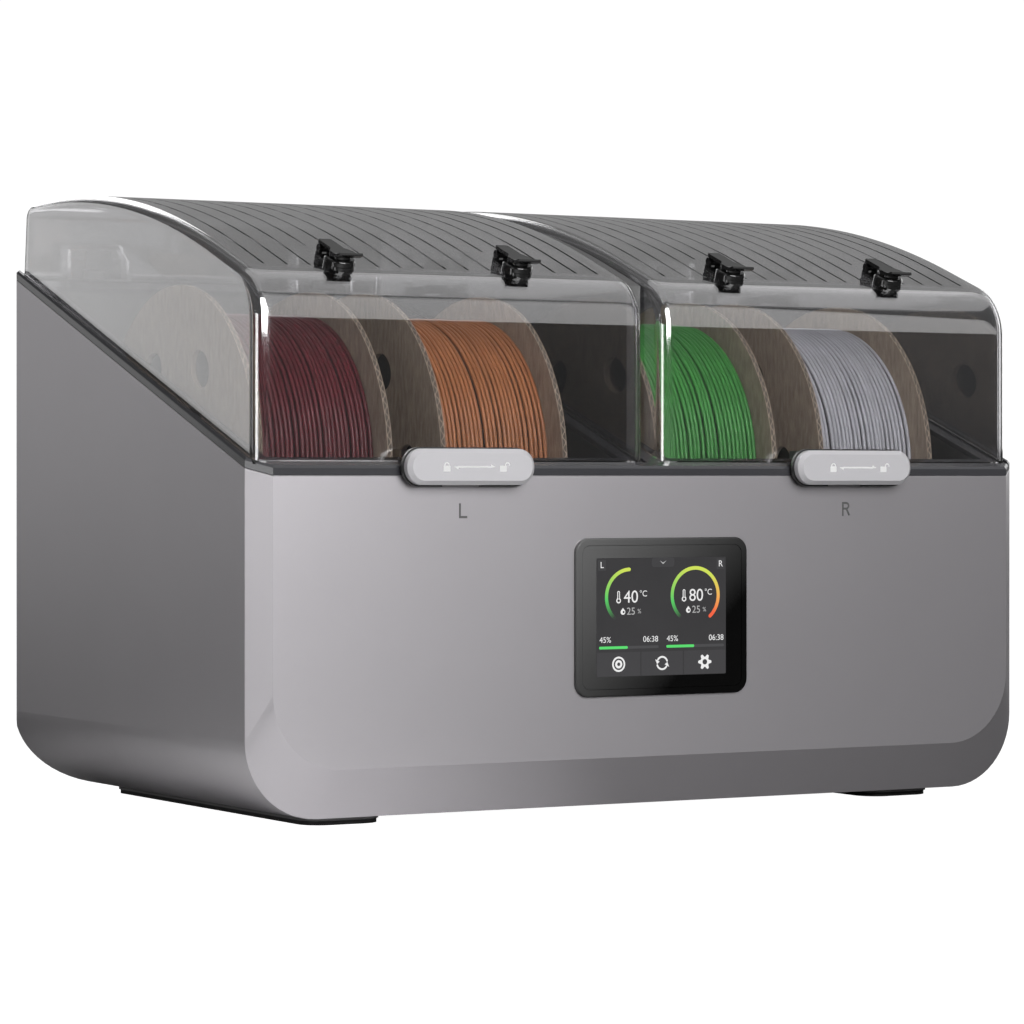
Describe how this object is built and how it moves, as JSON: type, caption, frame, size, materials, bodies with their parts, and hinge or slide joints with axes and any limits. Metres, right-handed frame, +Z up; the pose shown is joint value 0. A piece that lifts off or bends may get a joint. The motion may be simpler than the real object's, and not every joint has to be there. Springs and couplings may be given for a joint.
{
  "type": "filament dryer box",
  "caption": "Heated filament dryer box with clear hinged lids over spools on rollers, a sloping rim, sliding latches, feed ports and a touch display on the front",
  "frame": {"origin": "middle of the footprint, on the table under the feet", "axes": "+X to the right seen from the front, +Y to the rear, +Z up"},
  "size_m": [0.5, 0.3318, 0.3486],
  "materials": {
    "case_grey": "satin metallic paint",
    "foot_grey": "matt",
    "foot_rubber": "matt",
    "screw_steel": "bright",
    "trim_charcoal": "satin",
    "gasket_rubber": "matt",
    "divider_charcoal": "satin",
    "bezel_black": "gloss",
    "screen_glass": "clear, gloss",
    "screen_display": "lit display",
    "circuit_board": "solder mask",
    "supply_steel": "plain",
    "rear_panel_grey": "fine texture",
    "socket_black": "satin",
    "pin_brass": "bright",
    "rocker_black": "satin",
    "heater_aluminium": "plain",
    "fan_black": "satin",
    "sensor_white": "satin",
    "shaft_steel": "bright",
    "cradle_steel": "plain",
    "hinge_black": "satin",
    "tub_dark": "satin",
    "lid_clear": "clear smoke tint, gloss",
    "port_black": "gloss",
    "latch_black": "satin",
    "latch_grey": "satin",
    "reel_cardboard": "raw",
    "filament_maroon": "satin",
    "filament_orange": "satin",
    "filament_green": "satin",
    "filament_grey": "satin",
    "roller_rubber": "matt"
  },
  "bodies": {
    "base": {"outer_shell": "case_grey", "foot_rails": "foot_grey", "foot_pads": "foot_rubber", "case_screws": "screw_steel", "trim_frame": "trim_charcoal", "gaskets": "gasket_rubber", "divider": "divider_charcoal", "display_bezel": "bezel_black", "display_glass": "screen_glass", "display_panel": "screen_display", "display_board": "circuit_board", "control_board": "circuit_board", "power_supply": "supply_steel", "rear_panel": "rear_panel_grey", "panel_screws": "screw_steel", "inlet_socket": "socket_black", "inlet_pins": "pin_brass", "switch_frame": "socket_black", "heaters": "heater_aluminium", "fan_frames": "fan_black", "humidity_sensors": "sensor_white", "roller_shafts": "shaft_steel", "roller_cradles": "cradle_steel", "hinge_brackets": "hinge_black", "hinge_pins": "shaft_steel", "tub_left": "tub_dark", "tub_right": "tub_dark"},
    "switch_rocker": {"switch_rocker": "rocker_black"},
    "lid_left": {"lid_shell_left": "lid_clear", "hinge_leaves_left": "hinge_black", "port_bases_left": "port_black", "latch_guide_left": "latch_black"},
    "latch_slider_left": {"latch_slider_left": "latch_grey"},
    "fan_rotor_left": {"fan_rotor_left": "fan_black"},
    "port_flap_left_a": {"port_flap_left_a": "port_black"},
    "port_flap_left_b": {"port_flap_left_b": "port_black"},
    "spool_left_a": {"spool_reel_left_a": "reel_cardboard", "spool_filament_left_a": "filament_maroon"},
    "roller_left_a_front": {"roller_left_a_front": "roller_rubber"},
    "roller_left_a_rear": {"roller_left_a_rear": "roller_rubber"},
    "spool_left_b": {"spool_reel_left_b": "reel_cardboard", "spool_filament_left_b": "filament_orange"},
    "roller_left_b_front": {"roller_left_b_front": "roller_rubber"},
    "roller_left_b_rear": {"roller_left_b_rear": "roller_rubber"},
    "lid_right": {"lid_shell_right": "lid_clear", "hinge_leaves_right": "hinge_black", "port_bases_right": "port_black", "latch_guide_right": "latch_black"},
    "latch_slider_right": {"latch_slider_right": "latch_grey"},
    "fan_rotor_right": {"fan_rotor_right": "fan_black"},
    "port_flap_right_a": {"port_flap_right_a": "port_black"},
    "port_flap_right_b": {"port_flap_right_b": "port_black"},
    "spool_right_a": {"spool_reel_right_a": "reel_cardboard", "spool_filament_right_a": "filament_green"},
    "roller_right_a_front": {"roller_right_a_front": "roller_rubber"},
    "roller_right_a_rear": {"roller_right_a_rear": "roller_rubber"},
    "spool_right_b": {"spool_reel_right_b": "reel_cardboard", "spool_filament_right_b": "filament_grey"},
    "roller_right_b_front": {"roller_right_b_front": "roller_rubber"},
    "roller_right_b_rear": {"roller_right_b_rear": "roller_rubber"}
  },
  "joints": [
    {"name": "switch_rocker", "type": "hinge", "parent": "base", "child": "switch_rocker", "pos_m": [-0.1, 0.1601, 0.082], "axis": [1, 0, 0], "range_deg": [0, 16]},
    {"name": "lid_left", "type": "hinge", "parent": "base", "child": "lid_left", "pos_m": [-0.125, 0.1611, 0.313], "axis": [-1, 0, 0], "range_deg": [0, 80]},
    {"name": "latch_left", "type": "slide", "parent": "lid_left", "child": "latch_slider_left", "axis": [1, 0, 0], "range_m": [-0.01, 0]},
    {"name": "fan_left", "type": "hinge", "parent": "base", "child": "fan_rotor_left", "pos_m": [-0.125, 0.1166, 0.14], "axis": [0, 1, 0], "continuous": true},
    {"name": "port_flap_left_a", "type": "hinge", "parent": "lid_left", "child": "port_flap_left_a", "pos_m": [-0.185, -0.10917, 0.30907], "axis": [-1, 0, 0], "range_deg": [0, 100]},
    {"name": "port_flap_left_b", "type": "hinge", "parent": "lid_left", "child": "port_flap_left_b", "pos_m": [-0.075, -0.10917, 0.30907], "axis": [-1, 0, 0], "range_deg": [0, 100]},
    {"name": "spool_left_a", "type": "hinge", "parent": "base", "child": "spool_left_a", "pos_m": [-0.191, -0.0224, 0.1917], "axis": [1, 0, 0], "continuous": true},
    {"name": "roller_left_a_front", "type": "hinge", "parent": "base", "child": "roller_left_a_front", "pos_m": [-0.191, -0.0857, 0.1013], "axis": [1, 0, 0], "continuous": true},
    {"name": "roller_left_a_rear", "type": "hinge", "parent": "base", "child": "roller_left_a_rear", "pos_m": [-0.191, 0.0409, 0.1013], "axis": [1, 0, 0], "continuous": true},
    {"name": "spool_left_b", "type": "hinge", "parent": "base", "child": "spool_left_b", "pos_m": [-0.081, -0.0224, 0.1917], "axis": [1, 0, 0], "continuous": true},
    {"name": "roller_left_b_front", "type": "hinge", "parent": "base", "child": "roller_left_b_front", "pos_m": [-0.081, -0.0857, 0.1013], "axis": [1, 0, 0], "continuous": true},
    {"name": "roller_left_b_rear", "type": "hinge", "parent": "base", "child": "roller_left_b_rear", "pos_m": [-0.081, 0.0409, 0.1013], "axis": [1, 0, 0], "continuous": true},
    {"name": "lid_right", "type": "hinge", "parent": "base", "child": "lid_right", "pos_m": [0.125, 0.1611, 0.313], "axis": [-1, 0, 0], "range_deg": [0, 80]},
    {"name": "latch_right", "type": "slide", "parent": "lid_right", "child": "latch_slider_right", "axis": [1, 0, 0], "range_m": [-0.01, 0]},
    {"name": "fan_right", "type": "hinge", "parent": "base", "child": "fan_rotor_right", "pos_m": [0.125, 0.1166, 0.14], "axis": [0, 1, 0], "continuous": true},
    {"name": "port_flap_right_a", "type": "hinge", "parent": "lid_right", "child": "port_flap_right_a", "pos_m": [0.065, -0.10917, 0.30907], "axis": [-1, 0, 0], "range_deg": [0, 100]},
    {"name": "port_flap_right_b", "type": "hinge", "parent": "lid_right", "child": "port_flap_right_b", "pos_m": [0.175, -0.10917, 0.30907], "axis": [-1, 0, 0], "range_deg": [0, 100]},
    {"name": "spool_right_a", "type": "hinge", "parent": "base", "child": "spool_right_a", "pos_m": [0.059, -0.0224, 0.1917], "axis": [1, 0, 0], "continuous": true},
    {"name": "roller_right_a_front", "type": "hinge", "parent": "base", "child": "roller_right_a_front", "pos_m": [0.059, -0.0857, 0.1013], "axis": [1, 0, 0], "continuous": true},
    {"name": "roller_right_a_rear", "type": "hinge", "parent": "base", "child": "roller_right_a_rear", "pos_m": [0.059, 0.0409, 0.1013], "axis": [1, 0, 0], "continuous": true},
    {"name": "spool_right_b", "type": "hinge", "parent": "base", "child": "spool_right_b", "pos_m": [0.169, -0.0224, 0.1917], "axis": [1, 0, 0], "continuous": true},
    {"name": "roller_right_b_front", "type": "hinge", "parent": "base", "child": "roller_right_b_front", "pos_m": [0.169, -0.0857, 0.1013], "axis": [1, 0, 0], "continuous": true},
    {"name": "roller_right_b_rear", "type": "hinge", "parent": "base", "child": "roller_right_b_rear", "pos_m": [0.169, 0.0409, 0.1013], "axis": [1, 0, 0], "continuous": true}
  ],
  "couplings": [
    {"joint": "roller_left_a_front", "follows": "spool_left_a", "ratio": -10},
    {"joint": "roller_left_a_rear", "follows": "spool_left_a", "ratio": -10},
    {"joint": "roller_left_b_front", "follows": "spool_left_b", "ratio": -10},
    {"joint": "roller_left_b_rear", "follows": "spool_left_b", "ratio": -10},
    {"joint": "roller_right_a_front", "follows": "spool_right_a", "ratio": -10},
    {"joint": "roller_right_a_rear", "follows": "spool_right_a", "ratio": -10},
    {"joint": "roller_right_b_front", "follows": "spool_right_b", "ratio": -10},
    {"joint": "roller_right_b_rear", "follows": "spool_right_b", "ratio": -10}
  ]
}
